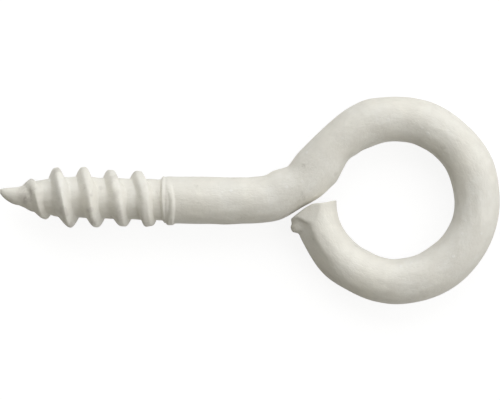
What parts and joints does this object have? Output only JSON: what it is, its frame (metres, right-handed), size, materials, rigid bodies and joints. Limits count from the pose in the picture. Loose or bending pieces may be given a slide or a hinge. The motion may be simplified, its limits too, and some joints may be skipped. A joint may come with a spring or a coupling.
{
  "type": "screw eye",
  "caption": "Coated steel screw eye: a gimlet-pointed wood-screw thread and plain shank, with the wire bent into an open ring that a hook, cord or chain link passes through.",
  "frame": {"origin": "centre of the eye", "axes": "+X runs from the screw's point towards the eye, parallel to the screw's axis; the eye lies in the XY plane, and the neck rises to its +Y side; +Z is the normal of the eye's plane"},
  "size_m": [0.0426, 0.0178, 0.0052],
  "materials": {
    "white_coat": "satin off-white powder coat, slightly lumpy, over steel wire"
  },
  "bodies": {
    "root": {"screw_eye": "white_coat"}
  },
  "joints": []
}
